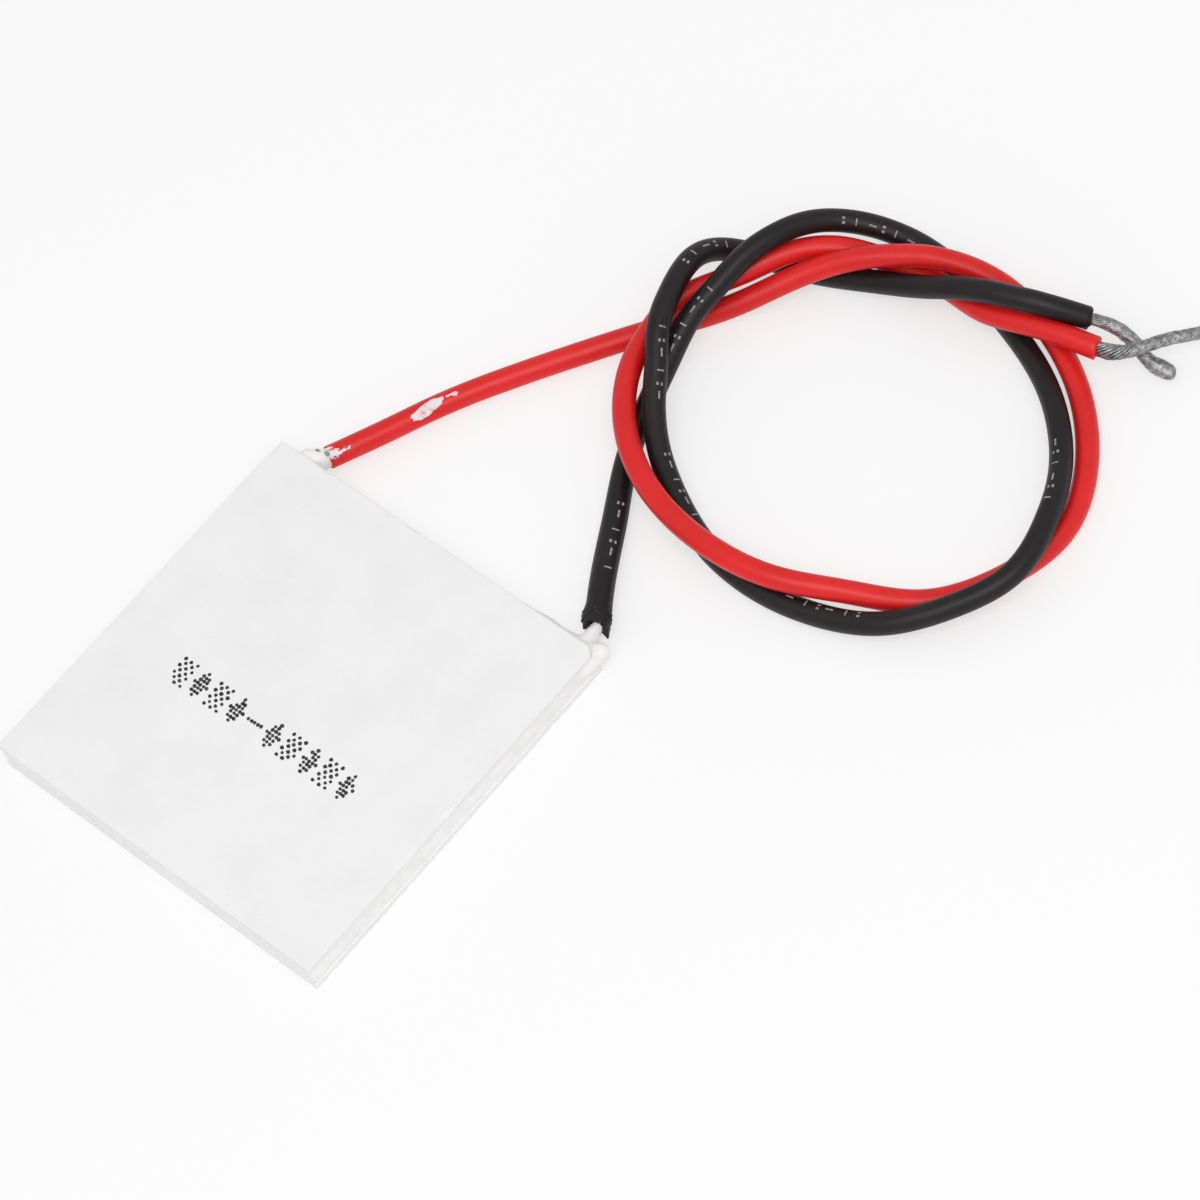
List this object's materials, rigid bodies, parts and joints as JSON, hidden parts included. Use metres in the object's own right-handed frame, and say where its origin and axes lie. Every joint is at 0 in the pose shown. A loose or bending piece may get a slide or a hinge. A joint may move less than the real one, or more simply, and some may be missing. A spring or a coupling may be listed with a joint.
{
  "type": "thermoelectric cooling module",
  "caption": "Square flat heat-pump module: two white ceramic plates over an array of soldered thermocouple legs, sealed edges, and a red and a black lead with bare ends.",
  "frame": {"origin": "centre of the hot plate's underside, the face that the module lies on", "axes": "+Z from the hot face to the cold face, +Y out of the edge that both leads leave by, +X along that edge towards the black lead"},
  "size_m": [0.0675, 0.0999, 0.007],
  "materials": {
    "hot_ceramic": "matt sintered alumina",
    "cold_ceramic": "matt sintered alumina, lapped face",
    "silicone_seal": "white silicone sealant, squeezed in and cured",
    "solder": "solder",
    "copper_tab": "etched copper",
    "p_type_leg": "sawn bismuth telluride, p type",
    "n_type_leg": "sawn bismuth telluride, n type",
    "tinned_wire": "tinned copper strands",
    "red_insulation": "soft red PVC",
    "black_insulation": "soft black PVC"
  },
  "bodies": {
    "root": {"hot_plate": "hot_ceramic", "cold_plate": "cold_ceramic", "edge_seal": "silicone_seal", "hot_solder": "solder", "cold_solder": "solder", "hot_tabs_row_1": "copper_tab", "hot_tabs_row_2": "copper_tab", "hot_tabs_row_3": "copper_tab", "hot_tabs_row_4": "copper_tab", "hot_tabs_row_5": "copper_tab", "hot_tabs_row_6": "copper_tab", "hot_tabs_row_7": "copper_tab", "hot_tabs_row_8": "copper_tab", "cold_tabs_row_0": "copper_tab", "cold_tabs_row_1": "copper_tab", "cold_tabs_row_2": "copper_tab", "cold_tabs_row_3": "copper_tab", "cold_tabs_row_4": "copper_tab", "cold_tabs_row_5": "copper_tab", "cold_tabs_row_6": "copper_tab", "cold_tabs_row_7": "copper_tab", "cold_tabs_row_8": "copper_tab", "p_legs_row_01": "p_type_leg", "p_legs_row_02": "p_type_leg", "p_legs_row_03": "p_type_leg", "p_legs_row_04": "p_type_leg", "p_legs_row_05": "p_type_leg", "p_legs_row_06": "p_type_leg", "p_legs_row_07": "p_type_leg", "p_legs_row_08": "p_type_leg", "p_legs_row_09": "p_type_leg", "p_legs_row_10": "p_type_leg", "p_legs_row_11": "p_type_leg", "p_legs_row_12": "p_type_leg", "p_legs_row_13": "p_type_leg", "p_legs_row_14": "p_type_leg", "p_legs_row_15": "p_type_leg", "p_legs_row_16": "p_type_leg", "n_legs_row_01": "n_type_leg", "n_legs_row_02": "n_type_leg", "n_legs_row_03": "n_type_leg", "n_legs_row_04": "n_type_leg", "n_legs_row_05": "n_type_leg", "n_legs_row_06": "n_type_leg", "n_legs_row_07": "n_type_leg", "n_legs_row_08": "n_type_leg", "n_legs_row_09": "n_type_leg", "n_legs_row_10": "n_type_leg", "n_legs_row_11": "n_type_leg", "n_legs_row_12": "n_type_leg", "n_legs_row_13": "n_type_leg", "n_legs_row_14": "n_type_leg", "n_legs_row_15": "n_type_leg", "n_legs_row_16": "n_type_leg", "red_joint": "tinned_wire", "black_joint": "tinned_wire", "red_lead": "red_insulation", "black_lead": "black_insulation", "red_bare_end": "tinned_wire", "black_bare_end": "tinned_wire"}
  },
  "joints": []
}
